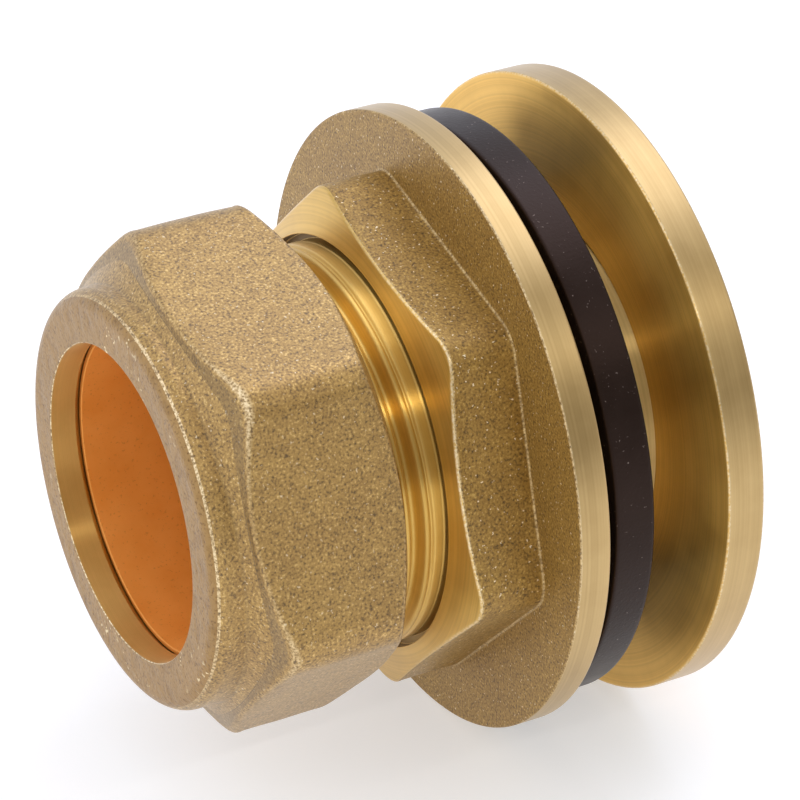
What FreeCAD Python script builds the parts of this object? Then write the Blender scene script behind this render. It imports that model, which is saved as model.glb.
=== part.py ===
import FreeCAD, Part
import math
import os

# Flanged compression tank connector for copper pipe, as five loose pieces on one axis.
# All sizes are millimetres. X is the pipe axis: the pipe goes in from -X, the threaded tail
# points along +X into the tank, and Z is up.
# The origin is the centre of the flange's sealing face.

# Pipe, and the room round it in each bore that it passes through
pipe_diameter = 22.0
socket_clearance = 0.10
olive_clearance = 0.12
lip_clearance = 0.15

# Compression end of the body
neck_wall = 3.15
neck_length = 9.03
neck_chamfer = 0.9
stop_setback = 2.0
stop_ledge = 1.4
seat_gap = 0.10

# Hexagon and flange of the body
hex_shoulder = 1.75
hex_length = 5.67
hex_corner_round = 2.6
hex_turn = 74.4
hex_chamfer_angle = 15.0
recess_width = 0.50
recess_depth = 0.90
sealing_land = 8.98
flange_thickness = 2.3
flange_edge_break = 0.15

# Threaded tail
tail_thread_diameter = 26.44
tail_length = 16.8
tail_wall = 3.52
tail_relief_width = 1.2
tail_relief_depth = 1.25
tail_end_chamfer = 1.1
waterway_chamfer = 0.5

# Olive: a ring with two cones that meet at a flat crown
olive_length = 8.8
olive_crown_width = 2.2
olive_crown_wall = 1.63
olive_end_wall = 0.35
olive_entry = 2.85

# Compression nut
nut_thread_clearance = 0.15
nut_wall = 1.6
nut_length = 13.45
nut_corner_round = 2.8
nut_turn = 73.0
nut_lip_length = 1.9
nut_lip_edge_break = 0.2
nut_seat_angle = 45.0
nut_bevel_angle = 30.0
nut_rear_rim = 0.1
nut_rear_countersink = 0.5
collar_wall = 3.59
collar_length = 1.68
collar_round = 0.95
collar_valley_round = 0.45

# Sealing washer
washer_clearance = 0.15
washer_setback = 1.2
washer_thickness = 3.0
washer_standoff = 1.15
washer_edge_round = 0.2

# Backnut, and the room left for the tank wall
wall_gap = 4.85
backnut_thread_clearance = 0.15
backnut_wall = 2.63
backnut_flange_width = 6.5
backnut_flange_thickness = 2.8
backnut_edge_break = 0.15
backnut_hex_length = 3.5
backnut_corner_round = 0.6
backnut_turn = 86.0
backnut_chamfer_angle = 30.0
backnut_rear_rim = 0.4
backnut_countersink = 0.55

# How far the turning cuts reach past the corners of a hexagon
corner_margin = 1.0

# Radii that follow from the pipe and the walls
pipe_r = pipe_diameter / 2
socket_r = pipe_r + socket_clearance
olive_r = pipe_r + olive_clearance
lip_r = pipe_r + lip_clearance
neck_r = socket_r + neck_wall
hex_flat = neck_r + hex_shoulder
recess_r = neck_r + recess_width
tail_r = tail_thread_diameter / 2
flange_r = tail_r + sealing_land
waterway_r = min(tail_r - tail_wall, socket_r - stop_ledge)
olive_end_r = olive_r + olive_end_wall
olive_crown_r = olive_r + olive_crown_wall
nut_thread_r = neck_r + nut_thread_clearance
nut_flat = nut_thread_r + nut_wall
collar_r = lip_r + collar_wall
washer_bore_r = tail_r + washer_clearance
washer_r = flange_r - washer_setback
backnut_bore_r = tail_r + backnut_thread_clearance
backnut_flat = backnut_bore_r + backnut_wall
backnut_r = backnut_flat + backnut_flange_width

# Places along the axis, counted from the sealing face
flange_front = -flange_thickness
hex_front = flange_front - hex_length
mouth = hex_front - neck_length
olive_rear = mouth + olive_entry
olive_front = olive_rear - olive_length
washer_front = washer_standoff
washer_rear = washer_front + washer_thickness
backnut_front = washer_rear + wall_gap
backnut_step = backnut_front + backnut_flange_thickness
backnut_rear = backnut_step + backnut_hex_length

# The mouth of the body and the rear of the olive share one slope
olive_cone_length = (olive_length - olive_crown_width) / 2
olive_slope = (olive_crown_r - olive_end_r) / olive_cone_length
mouth_r = olive_end_r + seat_gap + olive_slope * olive_entry
socket_start = mouth + (mouth_r - socket_r) / olive_slope

# The nut's cone meets the front of the olive, and the lip lies ahead of it
nut_seat_slope = math.tan(math.radians(nut_seat_angle))
nut_seat = olive_front - seat_gap - (olive_end_r - lip_r) / nut_seat_slope
nut_front = nut_seat - nut_lip_length
nut_rear = nut_front + nut_length

axis_point = FreeCAD.Vector(0, 0, 0)
axis_direction = FreeCAD.Vector(1, 0, 0)


def in_section(point):
    """A section point: its first number runs along the axis, its second out from the axis."""
    return FreeCAD.Vector(point.x, 0, point.y)


def across_axis(point):
    """A point of a cross-section that lies square to the axis, at the origin."""
    return FreeCAD.Vector(0, point.x, point.y)


def corner_join(before, here, after, rounding):
    """Where a tangent arc of this radius starts, bulges and ends at a corner."""
    back = (before - here).normalize()
    ahead = (after - here).normalize()
    half_angle = back.getAngle(ahead) / 2
    reach = rounding / math.tan(half_angle)
    inward = (back + ahead).normalize()
    middle = here + inward * (rounding / math.sin(half_angle) - rounding)
    return here + back * reach, middle, here + ahead * reach


def outline(corners, place):
    """Closed face through (u, v) corners. A third number rounds that corner with an arc."""
    points = [FreeCAD.Vector(corner[0], corner[1], 0) for corner in corners]
    edges = []
    joins = []
    for index, corner in enumerate(corners):
        here = points[index]
        joins.append((here, here, here))
        if len(corner) > 2:
            after = points[(index + 1) % len(points)]
            joins[-1] = corner_join(points[index - 1], here, after, corner[2])
            edges.append(Part.Arc(*[place(point) for point in joins[-1]]).toShape())
    for index, join in enumerate(joins):
        start = joins[index - 1][2]
        edges.append(Part.makeLine(place(start), place(join[0])))
    return Part.Face(Part.Wire(Part.__sortEdges__(edges)))


def turned(corners):
    """Solid of revolution about the axis from the corners of its half section."""
    return outline(corners, in_section).revolve(axis_point, axis_direction, 360)


def hexagon_bar(flat, rounding, turn, start, end):
    """Hexagonal bar with rounded corners, one of them at this angle from +Y towards +Z."""
    corner_r = flat / math.cos(math.radians(30))
    corners = []
    for step in range(6):
        angle = math.radians(turn + 60 * step)
        corners.append((corner_r * math.cos(angle), corner_r * math.sin(angle), rounding))
    bar = outline(corners, across_axis).extrude(axis_direction * (end - start))
    bar.translate(axis_direction * start)
    return bar


def past_corners(flat):
    """Radius that clears the corners of a hexagonal bar."""
    return flat / math.cos(math.radians(30)) + corner_margin


def bevel_run(rim, reach, angle):
    """Axial run of a cone that rises from radius rim to radius reach."""
    return (reach - rim) * math.tan(math.radians(angle))


def connector_body():
    """One forging: threaded neck, hexagon, flange and threaded tail, bored right through."""
    thread_root = neck_r - neck_chamfer
    relief_r = tail_r - tail_relief_depth
    tail_end_r = tail_r - tail_end_chamfer
    outside = turned([
        (mouth, 0),
        (mouth, thread_root),
        (mouth + neck_chamfer, neck_r),
        (flange_front, neck_r),
        (flange_front, flange_r - flange_edge_break),
        (flange_front + flange_edge_break, flange_r),
        (-flange_edge_break, flange_r),
        (0, flange_r - flange_edge_break),
        (0, relief_r),
        (tail_relief_width, relief_r),
        (tail_relief_width + tail_relief_depth, tail_r),
        (tail_length - tail_end_chamfer, tail_r),
        (tail_length, tail_end_r),
        (tail_length, 0),
    ])
    reach = past_corners(hex_flat)
    ring = turned([
        (hex_front, neck_r),
        (hex_front, recess_r),
        (hex_front + bevel_run(recess_r, reach, hex_chamfer_angle), reach),
        (flange_front, reach),
        (flange_front, neck_r),
    ])
    recess = turned([
        (hex_front, neck_r),
        (hex_front, recess_r),
        (hex_front + recess_depth, recess_r),
        (hex_front + recess_depth, neck_r),
    ])
    bar = hexagon_bar(hex_flat, hex_corner_round, hex_turn, hex_front, flange_front)
    hexagon = bar.common(ring).cut(recess)
    bore = turned([
        (mouth, 0),
        (mouth, mouth_r),
        (socket_start, socket_r),
        (-stop_setback, socket_r),
        (-stop_setback, waterway_r),
        (tail_length - waterway_chamfer, waterway_r),
        (tail_length, waterway_r + waterway_chamfer),
        (tail_length, 0),
    ])
    return outside.fuse(hexagon).cut(bore).removeSplitter()


def compression_nut():
    """Forged hexagon nut with a round collar at the pipe end and a cone that grips the olive."""
    reach = past_corners(nut_flat)
    rear_rim_r = nut_flat - nut_rear_rim
    bevel_start = nut_front + collar_length
    outside = turned([
        (nut_front, 0),
        (nut_front, collar_r, collar_round),
        (bevel_start, collar_r, collar_valley_round),
        (bevel_start + bevel_run(collar_r, reach, nut_bevel_angle), reach),
        (nut_rear - bevel_run(rear_rim_r, reach, nut_bevel_angle), reach),
        (nut_rear, rear_rim_r),
        (nut_rear, 0),
    ])
    inside = turned([
        (nut_front, 0),
        (nut_front, lip_r + nut_lip_edge_break),
        (nut_front + nut_lip_edge_break, lip_r),
        (nut_seat, lip_r),
        (nut_seat + (nut_thread_r - lip_r) / nut_seat_slope, nut_thread_r),
        (nut_rear - nut_rear_countersink, nut_thread_r),
        (nut_rear, nut_thread_r + nut_rear_countersink),
        (nut_rear, 0),
    ])
    bar = hexagon_bar(nut_flat, nut_corner_round, nut_turn, nut_front, nut_rear)
    return bar.common(outside).cut(inside).removeSplitter()


def olive():
    """Soft copper ring that is squeezed between the nut's cone and the body's mouth."""
    return turned([
        (olive_front, olive_r),
        (olive_front, olive_end_r),
        (olive_front + olive_cone_length, olive_crown_r),
        (olive_rear - olive_cone_length, olive_crown_r),
        (olive_rear, olive_end_r),
        (olive_rear, olive_r),
    ])


def sealing_washer():
    """Flat rubber ring that grips the tail just off the flange."""
    return turned([
        (washer_front, washer_bore_r),
        (washer_front, washer_r, washer_edge_round),
        (washer_rear, washer_r, washer_edge_round),
        (washer_rear, washer_bore_r),
    ])


def backnut():
    """Turned round flange with a thin hexagon behind it, threaded on to the tail."""
    reach = past_corners(backnut_flat)
    rear_rim_r = backnut_flat - backnut_rear_rim
    flange = turned([
        (backnut_front, 0),
        (backnut_front, backnut_r - backnut_edge_break),
        (backnut_front + backnut_edge_break, backnut_r),
        (backnut_step - backnut_edge_break, backnut_r),
        (backnut_step, backnut_r - backnut_edge_break),
        (backnut_step, 0),
    ])
    chamfer = turned([
        (backnut_step, 0),
        (backnut_step, reach),
        (backnut_rear - bevel_run(rear_rim_r, reach, backnut_chamfer_angle), reach),
        (backnut_rear, rear_rim_r),
        (backnut_rear, 0),
    ])
    bar = hexagon_bar(backnut_flat, backnut_corner_round, backnut_turn, backnut_step, backnut_rear)
    bore = turned([
        (backnut_front, 0),
        (backnut_front, backnut_bore_r + backnut_edge_break),
        (backnut_front + backnut_edge_break, backnut_bore_r),
        (backnut_rear - backnut_countersink, backnut_bore_r),
        (backnut_rear, backnut_bore_r + backnut_countersink),
        (backnut_rear, 0),
    ])
    return flange.fuse(bar.common(chamfer)).cut(bore).removeSplitter()


os.makedirs("parts", exist_ok=True)
for piece in (connector_body, compression_nut, olive, sealing_washer, backnut):
    piece().exportStep("parts/" + piece.__name__ + ".step")
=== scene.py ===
import math
from dataclasses import dataclass

import bpy
import numpy as np
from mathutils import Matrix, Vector


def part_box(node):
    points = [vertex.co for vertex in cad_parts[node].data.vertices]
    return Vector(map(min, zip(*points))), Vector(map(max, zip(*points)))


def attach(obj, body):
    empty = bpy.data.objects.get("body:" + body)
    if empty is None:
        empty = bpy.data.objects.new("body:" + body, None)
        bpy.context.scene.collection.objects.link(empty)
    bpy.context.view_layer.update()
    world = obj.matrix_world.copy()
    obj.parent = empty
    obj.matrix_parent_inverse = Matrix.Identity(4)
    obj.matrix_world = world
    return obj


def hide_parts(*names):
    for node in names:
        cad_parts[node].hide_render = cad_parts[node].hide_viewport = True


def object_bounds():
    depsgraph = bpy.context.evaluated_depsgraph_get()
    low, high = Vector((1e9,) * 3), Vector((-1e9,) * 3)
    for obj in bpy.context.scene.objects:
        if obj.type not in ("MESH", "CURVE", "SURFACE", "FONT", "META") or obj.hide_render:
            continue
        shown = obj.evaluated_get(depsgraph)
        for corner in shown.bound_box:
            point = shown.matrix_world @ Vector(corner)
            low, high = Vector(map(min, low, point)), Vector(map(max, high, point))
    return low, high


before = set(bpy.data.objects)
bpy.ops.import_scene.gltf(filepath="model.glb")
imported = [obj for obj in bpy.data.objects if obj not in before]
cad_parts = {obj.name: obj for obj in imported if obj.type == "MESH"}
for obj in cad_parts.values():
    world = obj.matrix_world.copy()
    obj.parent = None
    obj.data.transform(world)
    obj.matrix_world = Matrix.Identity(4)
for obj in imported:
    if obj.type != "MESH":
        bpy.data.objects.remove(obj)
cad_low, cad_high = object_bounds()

# The looks of a brass compression tank connector. Sizes are millimetres until a mesh is made.
# X is the pipe axis, the sealing face of the flange is at x = 0, and Z is up.
MM = 0.001
TURN = 2 * math.pi

# Meshes have this many columns round the axis, and this many steps on a rounding
COLUMNS = 300
ANGLES = np.arange(COLUMNS) * TURN / COLUMNS
ARC_STEPS = 3

# A rounding reaches along a run by at most this share of it, and at a sharp corner as if half its angle
# were this many radians
REACH_SHARE = 0.45
SHARPEST_HALF = 0.05

# The first ring of a run stands off the rounding by this share of its reach, but by no more than this
# share of the run
STAND_OFF = 0.6
STAND_OFF_SHARE = 0.2

# Camera of the photograph, in degrees and millimetres
VIEW_AZIMUTH = -28.639
VIEW_ELEVATION = 30.138
VIEW_DISTANCE = 282.855
VIEW_ASIDE = -3.248
VIEW_ABOVE = 0.923
VIEW_LENS = 181.8
VIEW_SENSOR = 36.0

# Colour of the two large softboxes, a little cooler than the room
DAYLIGHT = (0.94, 0.98, 1.18)

# The side of the axis that faces the camera, where thread ridges are placed
FACING = math.radians(146.0)

# The ways in which the painted highlight on the hexagon's front edge is strongest and the painted shade in
# the recess is weakest
hex_painted_highlight_way = FACING + 0.26
recess_painted_shade_weakest = FACING + 0.7


def extent(node):
    """Front and rear of a turned CAD node along the axis, and its outer radius."""
    low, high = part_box(node)
    return low.x / MM, high.x / MM, high.y / MM


mouth, tail_end, flange_r = extent("connector_body")
nut_front, nut_rear, _ = extent("compression_nut")
olive_front, olive_rear, olive_crown_r = extent("olive")
washer_front, washer_rear, washer_r = extent("sealing_washer")
backnut_front, backnut_rear, backnut_r = extent("backnut")

# Body
neck_r = 14.25
neck_chamfer = 0.9
mouth_r = 12.675
socket_r = 11.1
mouth_cone_length = 4.06
socket_start = mouth + mouth_cone_length
stop_place = -2.0
waterway_r = 9.7
waterway_chamfer = 0.5
hex_front = -7.97
hex_flat = 16.0
hex_round = 2.6
hex_turn = 74.4
hex_chamfer_angle = 15.0
recess_width = 0.50
recess_offset = 0.32
recess_depth = 0.90
recess_floor = hex_front + recess_depth
flange_front = -2.3
flange_break = 0.15
tail_r = 13.22
tail_relief_r = 11.97
tail_relief_end = 1.2
tail_thread_start = 2.45
tail_chamfer = 1.1

# Threads: axial pitch, radial depth, the flat crest's share of the pitch, and where a ridge tops out on
# the side that faces the camera. The neck shows from neck_visible on, and thins by its taper at the recess.
thread_fade = 0.5
groove_floor = 0.08
neck_pitch = 1.5
neck_depth = 0.8
neck_crest = -9.47
neck_flat = 0.10
neck_visible = -11.0
neck_taper = 0.07
tail_pitch = 1.814
tail_depth = 0.4
tail_crest = 8.6
tail_flat = 0.62
neck_thread_end = neck_crest + 0.55
nut_thread_depth = 0.55
nut_thread_setback = 0.6
backnut_thread_depth = 0.6

# Fine tool line, burr and taper that follow the last ridge of the neck's thread
line_place = neck_crest + 0.33
line_width = 0.07
line_depth = 0.10
burr_place = hex_front - 0.06
burr_width = 0.06
burr_height = 0.05
taper_start = neck_crest + 0.5
taper_run = 1.0

# Rings along each threaded run
neck_rows = 38
run_out_rows = 52
tail_rows = 72
nut_rows = 70
backnut_rows = 48

# Compression nut
nut_flat = 16.0
nut_round = 2.8
nut_turn = 73.0
nut_bevel_angle = 30.0
collar_r = 14.74
collar_length = 1.68
collar_end = nut_front + collar_length
collar_round = 1.30
collar_step = 10
collar_faced = 40
nut_edge_round = 0.40
nut_corner_gain = 0.5
lip_r = 11.15
lip_length = 1.9
lip_break = 0.07
nut_seat = nut_front + lip_length
nut_thread_r = 14.4
nut_rear_rim_r = 15.9
nut_countersink = 0.5
valley_setback = 0.6
valley_follow = 0.45
valley_dip = 0.18
bevel_lean = 0.95
bevel_high = 118.0

# Olive
olive_r = 11.12
olive_end_r = 11.47
olive_cone = 3.3
olive_round = 0.5

# Washer
washer_bore_r = 13.37
washer_round = 0.22

# Backnut
backnut_flange_thickness = 2.8
backnut_step = backnut_front + backnut_flange_thickness
backnut_flat = 16.0
backnut_round = 0.6
backnut_turn = 86.0
backnut_bore_r = 13.23
backnut_countersink = 0.55
backnut_front_break = 0.02
backnut_rim_r = 15.6
backnut_chamfer_angle = 30.0
backnut_break = 0.18

# Roundings of the edges that share one
HAIRLINE = 0.01
KEEN = 0.03
FINE = 0.05
SMALL = 0.08
CRISP = 0.10
EASED = 0.12
SOFT = 0.15
FULL = 0.20

# Unevenness of a forged skin: height, waves round the axis, twist along it and phase of each wave
SKIN_WAVES = ((0.022, 3, 0.5, 0.7), (0.016, 8, -0.9, 2.1), (0.010, 17, 1.7, 0.0))

# Finishes, as places in a piece's list of materials
# The body has its tail finish, a lighter copy of turned brass with painted light, where the nut has its faced
# ring; the tail sits in shade between washer and backnut
FORGED, TURNED, FACED, RIM = 0, 1, 2, 3
PAINTED_LIT_TAIL = FACED
PLATE, EDGE = 0, 1
PLAIN = 0


@dataclass
class Corner:
    """A corner of a half section, its rounding, and the finish and relief of the run that leaves it.
    Steps are those of the run, and arc counts those of the rounding.
    Of the two signed values after the relief, the first is the corner's and the second the run's: above 0 the
    place is worn pale, partly real rubbing and partly a painted highlight; below 0 it is darkened, as painted
    shade in the body's recess and as a darker crease on the nut's skin."""
    x: object
    r: object
    rounding: float = SMALL
    finish: int = TURNED
    steps: int = 2
    relief: object = None
    wear_and_painted_light: object = 0.0
    run_wear_and_painted_light: object = 0.0
    arc: int = ARC_STEPS


def smooth_step(value):
    """0 below 0, 1 above 1, and an even rise between."""
    t = np.clip(value, 0.0, 1.0)
    return t * t * (3 - 2 * t)


def hexagon(flat, rounding, turn):
    """Radius of a hexagon with rounded corners at every angle, one corner at this angle from +Y."""
    off_corner = np.radians(np.abs((np.degrees(ANGLES) - turn + 30) % 60 - 30))
    sixth = math.radians(30)
    side = flat / np.cos(sixth - off_corner)
    centre = (flat - rounding) / math.cos(sixth)
    inside = np.maximum(rounding ** 2 - (centre * np.sin(off_corner)) ** 2, 0.0)
    arc = centre * np.cos(off_corner) + np.sqrt(inside)
    tangent = sixth - math.atan((flat - rounding) * math.tan(sixth) / flat)
    return np.where(off_corner < tangent, arc, side)


def swayed(x, pitch):
    """Place along a thread that follows its lead on the side facing the camera and joins up behind."""
    return x - pitch * np.sin(ANGLES - FACING) / TURN


def thread(pitch, depth, flat, start, end, crest):
    """Radial relief of a right-hand thread between two places on the axis.
    A ridge keeps its full radius over the flat's share of the pitch, and fades in and out at the ends."""
    def relief(x):
        along = x - pitch * (ANGLES - FACING) / TURN
        ridge = np.abs((along - crest) / pitch % 1.0 - 0.5) * 2
        groove = 1 - smooth_step((ridge - groove_floor) / (1 - groove_floor - flat))
        inside = smooth_step((x - start) / thread_fade) * smooth_step((end - swayed(x, pitch)) / thread_fade)
        return -depth * groove * inside
    return relief


def run_out(x):
    """Thread relief beside the hexagon: the last ridge, a fine tool line beyond it, and a burr at the recess.
    The run itself slopes by the taper, so that slope is taken out and put back where the ridges end."""
    along = swayed(x, neck_pitch)
    line = np.exp(-((along - line_place) / line_width) ** 2)
    burr = np.exp(-((x - burr_place) / burr_width) ** 2)
    level = neck_taper * np.clip((x - neck_visible) / (recess_floor - neck_visible), 0.0, 1.0)
    taper = neck_taper * smooth_step((along - taper_start) / taper_run)
    return neck_thread(x) - line_depth * line + burr_height * burr + level - taper


neck_start = mouth + neck_chamfer
neck_thread = thread(neck_pitch, neck_depth, neck_flat, neck_start, neck_thread_end, neck_crest)
tail_thread = thread(tail_pitch, tail_depth, tail_flat, tail_thread_start, tail_end, tail_crest)


def uneven(x):
    """Slight unevenness of a forged skin, in millimetres."""
    total = 0.0
    for height, waves, twist, phase in SKIN_WAVES:
        total = total + height * np.sin(waves * ANGLES + twist * x + phase)
    return total


def heading(vectors):
    """Unit vectors and lengths of an array of plane vectors."""
    length = np.maximum(np.linalg.norm(vectors, axis=1), 1e-9)
    return vectors / length[:, None], length


def join(before, here, after, rounding):
    """Start and end of the rounding at a corner, and how far it reaches along both runs."""
    back, back_length = heading(before - here)
    ahead, ahead_length = heading(after - here)
    half = np.arccos(np.clip((back * ahead).sum(1), -1.0, 1.0)) / 2
    reach = rounding / np.tan(np.maximum(half, SHARPEST_HALF))
    reach = np.minimum(reach, REACH_SHARE * np.minimum(back_length, ahead_length))[:, None]
    return here + back * reach, here + ahead * reach, reach


def rings(section):
    """Rings of (x, r) points round the axis through a closed half section, with their finishes and their
    values of rubbing and painted light.
    """
    place = [np.stack([c.x + 0 * ANGLES, c.r + 0 * ANGLES], axis=1) for c in section]
    count = len(section)
    joins = []
    for index, corner in enumerate(section):
        joins.append(join(place[index - 1], place[index], place[(index + 1) % count], corner.rounding))
    points, finishes, wears_and_painted_light = [], [], []
    for index, corner in enumerate(section):
        start, end, reach = joins[index]
        for step in range(corner.arc + 1):
            t = step / corner.arc
            points.append((1 - t) ** 2 * start + 2 * t * (1 - t) * place[index] + t * t * end)
            finishes.append(section[index - 1].finish if t < 0.5 else corner.finish)
            wears_and_painted_light.append(corner.wear_and_painted_light * math.sin(math.pi * t) ** 2)
        far, _, far_reach = joins[(index + 1) % count]
        run, length = heading(far - end)
        length = length[:, None]
        near_share = np.minimum(STAND_OFF * reach / length, STAND_OFF_SHARE)
        far_share = np.minimum(STAND_OFF * far_reach / length, STAND_OFF_SHARE)
        for step in range(corner.steps + 1):
            share = near_share + (1 - near_share - far_share) * step / corner.steps
            point = end + run * length * share
            if corner.relief:
                point[:, 1] += corner.relief(point[:, 0])
            points.append(point)
            finishes.append(corner.finish)
            wears_and_painted_light.append(corner.run_wear_and_painted_light)
    return np.array(points), np.array(finishes), np.array([wear_and_painted_light + 0 * ANGLES for wear_and_painted_light in wears_and_painted_light])


def closed_piece(name, section, materials, node, body):
    """A mesh of revolution with its section closed on itself, standing for one CAD node."""
    points, finishes, wears_and_painted_light = rings(section)
    x = points[..., 0] * MM
    r = points[..., 1] * MM
    spots = np.stack([x, r * np.cos(ANGLES), r * np.sin(ANGLES)], axis=-1).reshape(-1, 3)
    count = len(points)
    row, column = np.meshgrid(np.arange(count), np.arange(COLUMNS), indexing="ij")
    next_row = (row + 1) % count
    next_column = (column + 1) % COLUMNS
    quads = np.stack([
        row * COLUMNS + column,
        row * COLUMNS + next_column,
        next_row * COLUMNS + next_column,
        next_row * COLUMNS + column,
    ], axis=-1).reshape(-1, 4)
    mesh = bpy.data.meshes.new(name)
    mesh.from_pydata(spots.tolist(), [], quads.tolist())
    for material in materials:
        mesh.materials.append(material)
    mesh.polygons.foreach_set("material_index", np.repeat(finishes, COLUMNS).astype(np.int32))
    mesh.polygons.foreach_set("use_smooth", np.ones(len(quads), dtype=bool))
    wear_and_painted_light = mesh.attributes.new("wear_and_painted_light", "FLOAT", "POINT")
    wear_and_painted_light.data.foreach_set("value", wears_and_painted_light.ravel().astype(np.float32))
    mesh.update()
    piece = bpy.data.objects.new(name, mesh)
    bpy.context.scene.collection.objects.link(piece)
    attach(piece, body)
    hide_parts(node)


def towards(angle):
    """How far each angle round the axis looks this way: 1 straight on, 0 from the side and behind."""
    return np.maximum(np.cos(ANGLES - angle), 0.0)


def slope(angle):
    """Axial run for each unit of radius of a cone that leans this far from a square face."""
    return math.tan(math.radians(angle))


def body_section():
    """Half section of the body: threaded neck, hexagon, flange and tail outside, then back along the bore."""
    side = hexagon(hex_flat, hex_round, hex_turn)
    recess_r = neck_r + recess_width - recess_offset * np.cos(ANGLES - FACING)
    chamfer_edge = hex_front + (side - neck_r - recess_width) * slope(hex_chamfer_angle)
    # Painted shade in the recess, weakest a little past the side that faces the camera
    shade = 0.85 * towards(recess_painted_shade_weakest) ** 2 - 1
    # The hexagon's front edge: a painted highlight, strongest a little past the side that faces the camera,
    # over a little even rubbing
    hex_wear_and_painted_highlight = 0.1 + 0.9 * towards(hex_painted_highlight_way) ** 2
    tail_stop = tail_end - tail_chamfer
    return [
        Corner(mouth, mouth_r, CRISP),
        Corner(mouth, neck_r - neck_chamfer, EASED),
        Corner(neck_start, neck_r, FULL, TURNED, neck_rows, neck_thread),
        Corner(neck_visible, neck_r, 0.02, TURNED, run_out_rows, run_out),
        Corner(recess_floor, neck_r - neck_taper, FINE, TURNED, 1, None, shade, shade),
        Corner(recess_floor, recess_r, FINE, TURNED, 3, None, shade, shade),
        Corner(hex_front, recess_r, 0.06, TURNED, 5),
        Corner(chamfer_edge, side, 0.28, FORGED, 5, uneven, hex_wear_and_painted_highlight),
        Corner(flange_front, side, 0.18, FORGED, 5, None, 0.35),
        # The flange's front edge: a painted highlight, strongest on the side that faces the camera
        Corner(flange_front, flange_r, flange_break, RIM, 3, None, 0.7 * towards(FACING)),
        Corner(0.0, flange_r, flange_break, TURNED, 4),
        Corner(0.0, tail_relief_r, EASED, TURNED, 1),
        Corner(tail_relief_end, tail_relief_r, EASED, TURNED, 1),
        Corner(tail_thread_start, tail_r, SOFT, PAINTED_LIT_TAIL, tail_rows, tail_thread),
        Corner(tail_stop, tail_r, SOFT, TURNED, 2),
        Corner(tail_end, tail_r - tail_chamfer, EASED, TURNED, 1),
        Corner(tail_end, waterway_r + waterway_chamfer, CRISP, TURNED, 1),
        Corner(tail_end - waterway_chamfer, waterway_r, CRISP, TURNED, 4),
        Corner(stop_place, waterway_r, CRISP, TURNED, 1),
        Corner(stop_place, socket_r, CRISP, TURNED, 3),
        Corner(socket_start, socket_r, FULL, TURNED, 2),
    ]


def collar_corners():
    """The rounded shoulder of the nut's collar, faced in front, with a painted highlight along the shoulder
    where the facing ends, strongest on the side that faces the camera.
    """
    corners = []
    for degrees in range(0, 91, collar_step):
        turn = math.radians(degrees)
        x = nut_front + collar_round * (1 - math.cos(turn))
        r = collar_r - collar_round * (1 - math.sin(turn))
        finish = FACED if degrees < collar_faced else FORGED
        wear_and_painted_light = 0.9 * towards(FACING) if degrees == collar_faced else 0.0
        corners.append(Corner(x, r, FINE, finish, 1, None, 0.0, wear_and_painted_light, 1))
    return corners


def nut_section():
    """Half section of the compression nut: collar, bevel, hexagon, rear chamfer, then thread, seat and lip.
    The bevel leans: it starts nearest the front at bevel_high, and furthest from it on the other side."""
    side = hexagon(nut_flat, nut_round, nut_turn)
    along = slope(nut_bevel_angle)
    corner_share = (side - side.min()) / (side.max() - side.min())
    collar_stop = collar_end + bevel_lean * (1 - np.cos(ANGLES - math.radians(bevel_high)))
    edge = collar_stop + (side - collar_r) * along
    edge_round = nut_edge_round + nut_corner_gain * corner_share ** 2
    # The flats' front edges: painted highlights at the corners on the side that faces the camera, over a
    # little even rubbing
    edge_wear_and_painted_highlight = 0.1 + 0.9 * corner_share * towards(FACING) ** 2
    valley_r = nut_flat - valley_setback + valley_follow * (side - nut_flat)
    valley = collar_stop + (valley_r - collar_r) * along + valley_dip
    rear_edge = nut_rear - (side - nut_rear_rim_r) * along
    thread_front = nut_seat + nut_thread_r - lip_r
    thread_start = thread_front + nut_thread_setback
    inner_thread = thread(neck_pitch, -nut_thread_depth, neck_flat, thread_start, nut_rear, neck_crest)
    return [
        Corner(nut_front, lip_r + lip_break, KEEN, FACED, 3),
        *collar_corners(),
        Corner(collar_stop, collar_r, 0.35, FORGED, 3, None, -0.3),
        Corner(valley, valley_r, 0.30, FORGED, 2, None, -1.0, -0.45, 5),
        Corner(edge, side, edge_round, FORGED, 8, uneven, edge_wear_and_painted_highlight, 0.0, 6),
        Corner(rear_edge, side, 0.45, FORGED, 3, None, 0.3),
        Corner(nut_rear, nut_rear_rim_r, CRISP, TURNED, 2),
        Corner(nut_rear, nut_thread_r + nut_countersink, CRISP, TURNED, 1),
        Corner(nut_rear - nut_countersink, nut_thread_r, EASED, TURNED, nut_rows, inner_thread),
        Corner(thread_front, nut_thread_r, SOFT, TURNED, 4),
        Corner(nut_seat, lip_r, 0.06, RIM, 3),
        Corner(nut_front + lip_break, lip_r, KEEN, FACED, 1, None, 0.0, 0.9),
    ]


def olive_section():
    """Half section of the olive: two cones that meet at a flat crown, and a plain bore."""
    return [
        Corner(olive_front, olive_r, SMALL, PLAIN, 1),
        Corner(olive_front, olive_end_r, SMALL, PLAIN, 4),
        Corner(olive_front + olive_cone, olive_crown_r, olive_round, PLAIN, 3),
        Corner(olive_rear - olive_cone, olive_crown_r, olive_round, PLAIN, 4),
        Corner(olive_rear, olive_end_r, SMALL, PLAIN, 1),
        Corner(olive_rear, olive_r, SMALL, PLAIN, 6),
    ]


def washer_section():
    """Half section of the rubber washer."""
    return [
        Corner(washer_front, washer_bore_r, SOFT, PLAIN, 6),
        Corner(washer_front, washer_r, washer_round, PLAIN, 4),
        Corner(washer_rear, washer_r, washer_round, PLAIN, 6),
        Corner(washer_rear, washer_bore_r, SOFT, PLAIN, 4),
    ]


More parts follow.
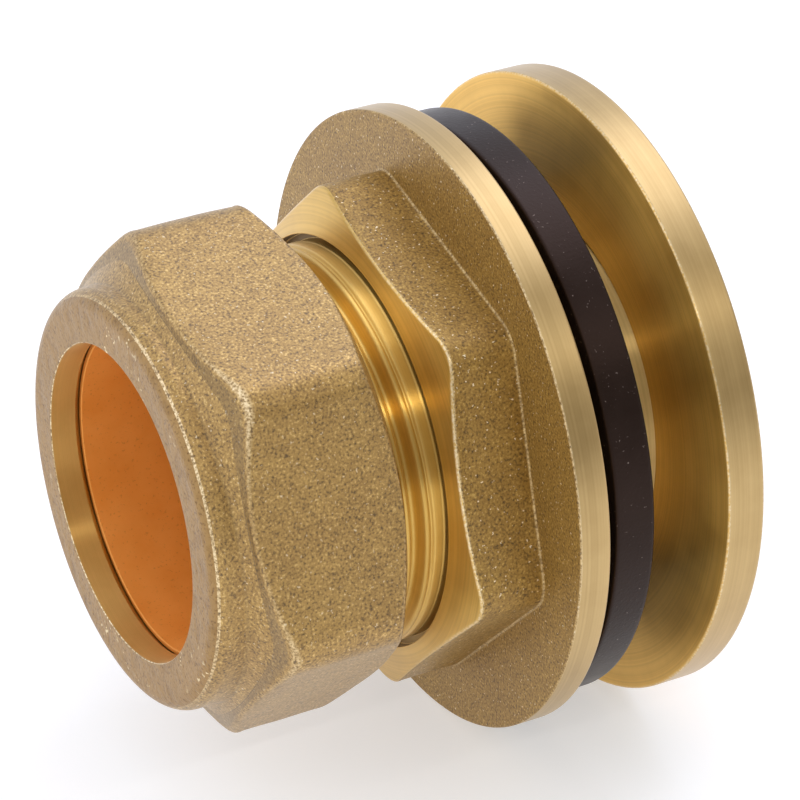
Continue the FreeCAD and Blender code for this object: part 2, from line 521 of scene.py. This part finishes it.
def backnut_section():
    """Half section of the backnut: round flange, hexagon behind it, and a threaded bore."""
    side = hexagon(backnut_flat, backnut_round, backnut_turn)
    rear_edge = backnut_rear - (side - backnut_rim_r) * slope(backnut_chamfer_angle)
    depth = -backnut_thread_depth
    bore_thread = thread(tail_pitch, depth, tail_flat, backnut_front, backnut_rear, tail_crest)
    return [
        Corner(backnut_front, backnut_bore_r + backnut_front_break, HAIRLINE, PLATE, 8),
        Corner(backnut_front, backnut_r, backnut_break, EDGE, 5, None, 0.7),
        Corner(backnut_step, backnut_r, backnut_break, PLATE, 4, None, 0.4),
        Corner(backnut_step, side, 0.25, PLATE, 3),
        Corner(rear_edge, side, SOFT, PLATE, 2),
        Corner(backnut_rear, backnut_rim_r, CRISP, PLATE, 2),
        Corner(backnut_rear, backnut_bore_r + backnut_countersink, SMALL, PLATE, 1),
        Corner(backnut_rear - backnut_countersink, backnut_bore_r, EASED, PLATE, backnut_rows, bore_thread),
        Corner(backnut_front + backnut_front_break, backnut_bore_r, HAIRLINE, PLATE, 1),
    ]


def fill(tree, made, inputs):
    """Gives a shader node's inputs a value each, or links another node's output to them."""
    for key, value in inputs.items():
        if isinstance(value, bpy.types.NodeSocket):
            tree.links.new(value, made.inputs[key])
        else:
            made.inputs[key].default_value = value


def node(tree, kind, inputs=None, **settings):
    """A shader node with its settings and its inputs, each a value or another node's output."""
    made = tree.nodes.new(kind)
    for key, value in settings.items():
        setattr(made, key, value)
    fill(tree, made, inputs or {})
    return made


# Noise scales, as grains or lines to the metre
SKIN_GRAIN = 5600.0
SKIN_GLINT = 4300.0
SKIN_CLUMPS = 900.0
SKIN_PATCHES = 150.0
RING_GRAIN = 4600.0
RING_GLINT = 2400.0
RING_LUMPS = 900.0
RING_PATCHES = 200.0
TURNED_GRAIN = 5200.0
TURNED_BANDS = 700.0
TURNED_SMEARS = 260.0
COPPER_SPECK = 5200.0
COPPER_LINES = 4200.0
COPPER_HAZE = 320.0
RUBBER_GRIT = 4200.0
RUBBER_BLOOM = 240.0

# Colours of painted glints on the grains, of worn edges with painted highlights, of the darker creases of the
# skin and of the painted shade in the body's recess
WHITE = (1.0, 1.0, 1.0)
SKIN_PAINTED_GLINT = (0.98, 0.86, 0.60)
RING_PAINTED_GLINT = (0.98, 0.84, 0.52)
SKIN_RUBBED_AND_PAINTED_HIGHLIGHT = (0.92, 0.74, 0.44)
RING_RUBBED_AND_PAINTED_HIGHLIGHT = (0.96, 0.82, 0.52)
TURNED_RUBBED_AND_PAINTED_HIGHLIGHT = (0.97, 0.84, 0.58)
DARK_SKIN = (0.15, 0.092, 0.030)
PAINTED_SHADE_TURNED = (0.150, 0.085, 0.020)

# Light: lamps stand this far off in metres, the room is dimmer ahead, and the floor glows a little
LAMP_DISTANCE = 0.7
ROOM_AHEAD = (0.35, -0.90, 0.10)
ROOM_DIM = 0.40
FLOOR_HALF = 3.0
FLOOR_GLOW = 1.32
FLOOR_GLOW_SHARE = 0.35


def new_material(name):
    """An empty node material with one shader, and the place of each point on the piece."""
    material = bpy.data.materials.new(name)
    material.use_nodes = True
    tree = material.node_tree
    shader = tree.nodes["Principled BSDF"]
    spot = node(tree, "ShaderNodeTexCoord").outputs["Object"]
    return material, tree, shader, spot


def noise(tree, vector, scale, detail=2.0, roughness=0.6):
    """Fine noise whose grains are about 1 / scale metres across."""
    made = node(tree, "ShaderNodeTexNoise", {
        "Vector": vector, "Scale": scale, "Detail": detail, "Roughness": roughness,
    })
    return made.outputs["Fac"]


def ramp(tree, value, stops):
    """Colours along a value, given as (place, colour)."""
    made = node(tree, "ShaderNodeValToRGB", {"Fac": value})
    ends = made.color_ramp.elements
    while len(ends) < len(stops):
        ends.new(0.5)
    for end, (place, colour) in zip(ends, stops):
        end.position = place
        end.color = (*colour, 1.0)
    return made.outputs["Color"]


def blend(tree, share, first, second, kind="MIX"):
    """Two colours mixed by a share."""
    made = node(tree, "ShaderNodeMix", None, data_type="RGBA", blend_type=kind)
    for key, value in (("Factor", share), ("A", first), ("B", second)):
        held = "VALUE" if key == "Factor" else "RGBA"
        socket = next(s for s in made.inputs if s.name == key and s.type == held)
        if isinstance(value, bpy.types.NodeSocket):
            tree.links.new(value, socket)
        else:
            socket.default_value = value if key == "Factor" else (*value, 1.0)
    return next(s for s in made.outputs if s.type == "RGBA")


def multiply(tree, first, second):
    """One colour times another."""
    return blend(tree, 1.0, first, second, "MULTIPLY")


def product(tree, first, second):
    """One value times another."""
    return node(tree, "ShaderNodeMath", {0: first, 1: second}, operation="MULTIPLY").outputs["Value"]


def rescale(tree, value, low, high, to_low, to_high):
    """A value carried from one range to another, held at its ends."""
    made = node(tree, "ShaderNodeMapRange", {
        "Value": value, "From Min": low, "From Max": high, "To Min": to_low, "To Max": to_high,
    })
    return made.outputs["Result"]


def bump(tree, height, distance, strength, normal=None):
    """Shading normals tilted by a height, whose full swing is this distance in metres."""
    inputs = {"Height": height, "Distance": distance, "Strength": strength}
    if normal:
        inputs["Normal"] = normal
    return node(tree, "ShaderNodeBump", inputs).outputs["Normal"]


def ring_place(tree, spot):
    """A place that changes along the axis and out from it, and not round it, for turning marks."""
    parts = node(tree, "ShaderNodeSeparateXYZ", {"Vector": spot})
    across = node(tree, "ShaderNodeVectorMath", {0: spot, 1: (0.0, 1.0, 1.0)}, operation="MULTIPLY")
    radius = node(tree, "ShaderNodeVectorMath", {0: across.outputs["Vector"]}, operation="LENGTH")
    made = node(tree, "ShaderNodeCombineXYZ", {"X": parts.outputs["X"], "Y": radius.outputs["Value"]})
    return made.outputs["Vector"]


def rubbed_and_highlight_share(tree, grain):
    """How far each point is worn pale, partly real rubbing and partly a painted highlight: the value of its
    corner, broken up by the grain.
    """
    wear_and_painted_light = node(tree, "ShaderNodeAttribute", None, attribute_name="wear_and_painted_light").outputs["Fac"]
    broken = rescale(tree, grain, 0.38, 0.62, 0.1, 1.0)
    share = product(tree, wear_and_painted_light, broken)
    return wear_and_painted_light, rescale(tree, share, 0.0, 1.0, 0.0, 1.0)


def darkness(tree, wear_and_painted_light, most):
    """How far each point is darkened, painted shade in the recess and a darker crease on the skin: the part
    of its value below 0, up to this share.
    """
    return rescale(tree, wear_and_painted_light, 0.0, -1.0, 0.0, most)


def forged_brass(name, grain_depth, painted_glint_share, coat, metallic, tint):
    """Brass as it left the die: a sandy blasted skin with dark pits and painted glints on its grains under a
    dull film.
    """
    material, tree, shader, spot = new_material(name)
    grain = noise(tree, spot, SKIN_GRAIN, 2.0, 0.5)
    glint = noise(tree, spot, SKIN_GLINT, 1.0, 0.5)
    clumps = noise(tree, spot, SKIN_CLUMPS, 2.0, 0.5)
    patches = noise(tree, spot, SKIN_PATCHES, 2.0, 0.5)
    skin = ramp(tree, grain, [
        (0.28, (0.12, 0.066, 0.015)),
        (0.38, (0.27, 0.157, 0.035)),
        (0.48, (0.385, 0.230, 0.054)),
        (0.60, (0.435, 0.265, 0.066)),
        (0.72, (0.64, 0.435, 0.150)),
    ])
    cloud = ramp(tree, clumps, [(0.35, (0.88, 0.86, 0.82)), (0.65, WHITE)])
    tone = ramp(tree, patches, [(0.35, (0.93, 0.91, 0.88)), (0.65, WHITE)])
    colour = multiply(tree, multiply(tree, skin, cloud), tone)
    colour = multiply(tree, colour, tint)
    # Painted glints on the grains
    painted_glint = rescale(tree, glint, 0.70, 0.76, 0.0, painted_glint_share)
    colour = blend(tree, painted_glint, colour, SKIN_PAINTED_GLINT)
    # Worn edges with painted highlights above 0, darker creases below 0
    wear_and_painted_light, rubbed_and_highlight = rubbed_and_highlight_share(tree, grain)
    colour = blend(tree, rubbed_and_highlight, colour, SKIN_RUBBED_AND_PAINTED_HIGHLIGHT)
    colour = blend(tree, darkness(tree, wear_and_painted_light, 0.85), colour, DARK_SKIN)
    fill(tree, shader, {
        "Base Color": colour,
        "Metallic": metallic,
        "Roughness": rescale(tree, grain, 0.4, 0.7, 0.58, 0.46),
        "Coat Weight": coat,
        "Coat Roughness": 0.45,
        "Normal": bump(tree, grain, grain_depth, 0.36),
    })
    return material


def faced_brass():
    """The front ring of the nut: pale and smoother than the skin, with lumps and pits left from the die."""
    material, tree, shader, spot = new_material("faced_brass_ring")
    grain = noise(tree, spot, RING_GRAIN, 2.0, 0.5)
    lumps = noise(tree, spot, RING_LUMPS, 3.0, 0.55)
    patches = noise(tree, spot, RING_PATCHES, 2.0, 0.5)
    glint = noise(tree, spot, RING_GLINT, 1.0, 0.5)
    colour = ramp(tree, patches, [(0.3, (0.340, 0.200, 0.066)), (0.7, (0.400, 0.240, 0.083))])
    pits = ramp(tree, grain, [(0.28, (0.50, 0.44, 0.36)), (0.46, WHITE)])
    hollows = ramp(tree, lumps, [(0.36, (0.86, 0.83, 0.77)), (0.46, WHITE)])
    colour = multiply(tree, multiply(tree, colour, pits), hollows)
    # Painted glints, in patches
    painted_glint_share = rescale(tree, patches, 0.52, 0.62, 0.0, 0.9)
    painted_glint = rescale(tree, glint, 0.66, 0.72, 0.0, 1.0)
    painted_glint = product(tree, painted_glint, painted_glint_share)
    colour = blend(tree, painted_glint, colour, RING_PAINTED_GLINT)
    # Worn edges with painted highlights
    _, rubbed_and_highlight = rubbed_and_highlight_share(tree, grain)
    colour = blend(tree, rubbed_and_highlight, colour, RING_RUBBED_AND_PAINTED_HIGHLIGHT)
    uneven_skin = bump(tree, lumps, 0.0003, 0.8)
    fill(tree, shader, {
        "Base Color": colour,
        "Metallic": 1.0,
        "Roughness": rescale(tree, patches, 0.3, 0.7, 0.44, 0.52),
        "Coat Weight": 0.45,
        "Coat Roughness": 0.45,
        "Normal": bump(tree, grain, 0.00007, 0.45, uneven_skin),
    })
    return material


@dataclass
class Turning:
    """A turned finish: two colours it wanders between, its gloss, and its turning marks.
    There are mark_scale marks to the metre, and stretch is how far they draw highlights out."""
    light: tuple
    deep: tuple
    roughness: float
    coat: float
    mark_scale: float
    mark_depth: float
    stretch: float
    metallic: float = 1.0


def turned_brass(name, finish):
    """Machined brass whose fine turning marks run round the axis and draw highlights out across them."""
    material, tree, shader, spot = new_material(name)
    ring = ring_place(tree, spot)
    marks = noise(tree, ring, finish.mark_scale, 3.0, 0.6)
    bands = noise(tree, ring, TURNED_BANDS, 2.0, 0.5)
    smears = noise(tree, spot, TURNED_SMEARS, 3.0, 0.6)
    grain = noise(tree, spot, TURNED_GRAIN, 2.0, 0.5)
    colour = blend(tree, rescale(tree, bands, 0.35, 0.65, 0.0, 1.0), finish.deep, finish.light)
    tint = ramp(tree, smears, [(0.3, (0.90, 0.88, 0.84)), (0.6, WHITE)])
    lines = ramp(tree, marks, [(0.34, (0.86, 0.84, 0.80)), (0.60, WHITE)])
    colour = multiply(tree, multiply(tree, colour, tint), lines)
    # Worn edges with painted highlights above 0
    wear_and_painted_light, rubbed_and_highlight = rubbed_and_highlight_share(tree, grain)
    colour = blend(tree, rubbed_and_highlight, colour, TURNED_RUBBED_AND_PAINTED_HIGHLIGHT)
    # Painted shade where the value is below 0, as in the body's recess
    colour = blend(tree, darkness(tree, wear_and_painted_light, 0.95), colour, PAINTED_SHADE_TURNED)
    round_axis = node(tree, "ShaderNodeTangent", None, direction_type="RADIAL", axis="X").outputs["Tangent"]
    fill(tree, shader, {
        "Base Color": colour,
        "Metallic": finish.metallic,
        "Roughness": rescale(tree, smears, 0.3, 0.7, finish.roughness - 0.01, finish.roughness + 0.04),
        "Anisotropic": finish.stretch,
        "Anisotropic Rotation": 0.25,
        "Tangent": round_axis,
        "Coat Weight": rescale(tree, wear_and_painted_light, 0.0, -1.0, finish.coat, 0.0),
        "Coat Roughness": 0.36,
        "Normal": bump(tree, marks, finish.mark_depth, 0.5),
    })
    return material


def copper():
    """Soft drawn copper: even orange, matt, with faint drawing lines."""
    material, tree, shader, spot = new_material("olive_copper")
    ring = ring_place(tree, spot)
    lines = noise(tree, ring, COPPER_LINES, 2.0, 0.5)
    haze = noise(tree, spot, COPPER_HAZE, 3.0, 0.6)
    speck = noise(tree, spot, COPPER_SPECK, 1.0, 0.5)
    colour = ramp(tree, haze, [(0.3, (0.92, 0.37, 0.060)), (0.7, (0.98, 0.43, 0.085))])
    fleck = ramp(tree, speck, [(0.26, (0.84, 0.82, 0.80)), (0.36, WHITE)])
    fill(tree, shader, {
        "Base Color": multiply(tree, colour, fleck),
        "Metallic": 0.35,
        "Roughness": rescale(tree, haze, 0.3, 0.7, 0.44, 0.54),
        "Normal": bump(tree, lines, 0.000008, 0.4),
    })
    return material


def black_rubber():
    """Moulded black rubber with a faint warm bloom and a few pale specks."""
    material, tree, shader, spot = new_material("washer_rubber")
    bloom = noise(tree, spot, RUBBER_BLOOM, 3.0, 0.6)
    grit = noise(tree, spot, RUBBER_GRIT, 2.0, 0.6)
    base = ramp(tree, bloom, [(0.3, (0.008, 0.0052, 0.0044)), (0.7, (0.014, 0.0092, 0.0078))])
    dust = ramp(tree, grit, [(0.69, (0.0, 0.0, 0.0)), (0.77, (0.20, 0.16, 0.14))])
    fill(tree, shader, {
        "Base Color": blend(tree, 1.0, base, dust, "ADD"),
        "Roughness": rescale(tree, bloom, 0.3, 0.7, 0.31, 0.39),
        "Specular IOR Level": 0.25,
        "Specular Tint": (1.0, 0.60, 0.44, 1.0),
        "Normal": bump(tree, grit, 0.00003, 0.5),
    })
    return material


def area_lamp(name, direction, width, height, power, colour=WHITE):
    """A lamp in this direction from the part, facing it, with its width level. Metres and watts."""
    lamp = bpy.data.lights.new(name, "AREA")
    lamp.shape = "RECTANGLE"
    lamp.size = width
    lamp.size_y = height
    lamp.energy = power
    lamp.color = colour
    holder = bpy.data.objects.new(name, lamp)
    way = Vector(direction).normalized()
    holder.location = way * LAMP_DISTANCE
    holder.rotation_euler = way.to_track_quat("Z", "Y").to_euler()
    bpy.context.scene.collection.objects.link(holder)


def studio_world():
    """Cool white all round, and dimmer and warmer in front of the part, where the room lies."""
    world = bpy.data.worlds.new("studio")
    world.use_nodes = True
    bpy.context.scene.world = world
    tree = world.node_tree
    way = node(tree, "ShaderNodeTexCoord").outputs["Generated"]
    ahead = node(tree, "ShaderNodeVectorMath", {0: way, 1: ROOM_AHEAD}, operation="DOT_PRODUCT")
    shade = rescale(tree, ahead.outputs["Value"], -0.1, 0.95, 1.0, ROOM_DIM)
    warmth = ramp(tree, shade, [(0.38, (1.0, 0.95, 0.86)), (1.0, (0.94, 0.985, 1.11))])
    background = tree.nodes["Background"]
    tree.links.new(warmth, background.inputs["Color"])
    tree.links.new(shade, background.inputs["Strength"])


def white_floor():
    """A wide white floor under the part, which keeps a soft shadow."""
    signs = ((-1, -1), (1, -1), (1, 1), (-1, 1))
    corners = [(FLOOR_HALF * x, FLOOR_HALF * y, cad_low.z) for x, y in signs]
    mesh = bpy.data.meshes.new("floor")
    mesh.from_pydata(corners, [], [(0, 1, 2, 3)])
    floor = bpy.data.objects.new("floor", mesh)
    bpy.context.scene.collection.objects.link(floor)
    material = bpy.data.materials.new("floor_white")
    material.use_nodes = True
    tree = material.node_tree
    tree.nodes.remove(tree.nodes["Principled BSDF"])
    matt = node(tree, "ShaderNodeBsdfDiffuse", {"Color": (*WHITE, 1.0)})
    glow = node(tree, "ShaderNodeEmission", {"Color": (*WHITE, 1.0), "Strength": FLOOR_GLOW})
    mix = node(tree, "ShaderNodeMixShader", {
        "Fac": FLOOR_GLOW_SHARE, 1: matt.outputs["BSDF"], 2: glow.outputs["Emission"],
    })
    tree.links.new(mix.outputs["Shader"], tree.nodes["Material Output"].inputs["Surface"])
    mesh.materials.append(material)


def photo_camera():
    """The camera at the photograph's viewing angle."""
    turn, tilt = math.radians(VIEW_AZIMUTH), math.radians(VIEW_ELEVATION)
    right = Vector((math.cos(turn), math.sin(turn), 0.0))
    back = Vector((math.sin(turn) * math.cos(tilt), -math.cos(turn) * math.cos(tilt), math.sin(tilt)))
    up = back.cross(right)
    camera = bpy.data.cameras.new("photo_camera")
    camera.lens = VIEW_LENS
    camera.sensor_width = VIEW_SENSOR
    camera.clip_start = 0.01
    camera.clip_end = 20.0
    holder = bpy.data.objects.new("photo_camera", camera)
    holder.location = (right * VIEW_ASIDE + up * VIEW_ABOVE + back * VIEW_DISTANCE) * MM
    holder.rotation_euler = (math.pi / 2 - tilt, 0.0, turn)
    bpy.context.scene.collection.objects.link(holder)
    bpy.context.scene.camera = holder


body_skin = forged_brass(
    "forged_brass_body", grain_depth=0.00008, painted_glint_share=0.9, coat=0.5, metallic=0.55, tint=(1.0, 0.97, 0.72))
nut_skin = forged_brass(
    "forged_brass_nut", grain_depth=0.00005, painted_glint_share=0.5, coat=1.0, metallic=0.85, tint=(1.13, 1.13, 1.12))
machined = turned_brass("turned_brass_body", Turning(
    light=(0.77, 0.490, 0.115), deep=(0.69, 0.432, 0.092),
    roughness=0.33, coat=0.55, mark_scale=5200.0, mark_depth=0.000008, stretch=0.95))
rim = turned_brass("turned_brass_rim", Turning(
    light=(0.575, 0.400, 0.172), deep=(0.525, 0.362, 0.150),
    roughness=0.38, coat=0.42, mark_scale=3200.0, mark_depth=0.000030, stretch=0.25))
lip = turned_brass("turned_brass_lip", Turning(
    light=(0.81, 0.51, 0.150), deep=(0.78, 0.48, 0.138),
    roughness=0.42, coat=0.15, mark_scale=20000.0, mark_depth=0.000004, stretch=1.0, metallic=0.85))
plate = turned_brass("turned_brass_backnut", Turning(
    light=(0.88, 0.535, 0.125), deep=(0.80, 0.472, 0.100),
    roughness=0.31, coat=0.12, mark_scale=5000.0, mark_depth=0.000004, stretch=1.0))
# The tail: a lighter and less metallic copy of turned brass, painted light for its shaded place between
# washer and backnut
painted_lit_tail = turned_brass("turned_brass_tail_painted_lighter", Turning(
    light=(0.97, 0.73, 0.31), deep=(0.92, 0.68, 0.27),
    roughness=0.40, coat=0.3, mark_scale=5200.0, mark_depth=0.000004, stretch=0.95, metallic=0.6))
faced = faced_brass()
body_finishes = [body_skin, machined, painted_lit_tail, rim]
nut_finishes = [nut_skin, machined, faced, lip]

closed_piece("body_visual", body_section(), body_finishes, "connector_body", "connector")
closed_piece("nut_visual", nut_section(), nut_finishes, "compression_nut", "nut")
closed_piece("olive_visual", olive_section(), [copper()], "olive", "olive")
closed_piece("washer_visual", washer_section(), [black_rubber()], "sealing_washer", "washer")
closed_piece("backnut_visual", backnut_section(), [plate, rim], "backnut", "backnut")

studio_world()
white_floor()
area_lamp("overhead_softbox", (0.41, 0.16, 0.90), width=0.45, height=0.62, power=1.53, colour=DAYLIGHT)
area_lamp("left_softbox", (-0.80, 0.15, 0.58), width=0.50, height=0.50, power=0.63, colour=DAYLIGHT)
area_lamp("strip_light", (0.0, -0.713, 0.701), width=1.20, height=0.03, power=0.90)
photo_camera()
bpy.context.scene.view_settings.view_transform = "Standard"
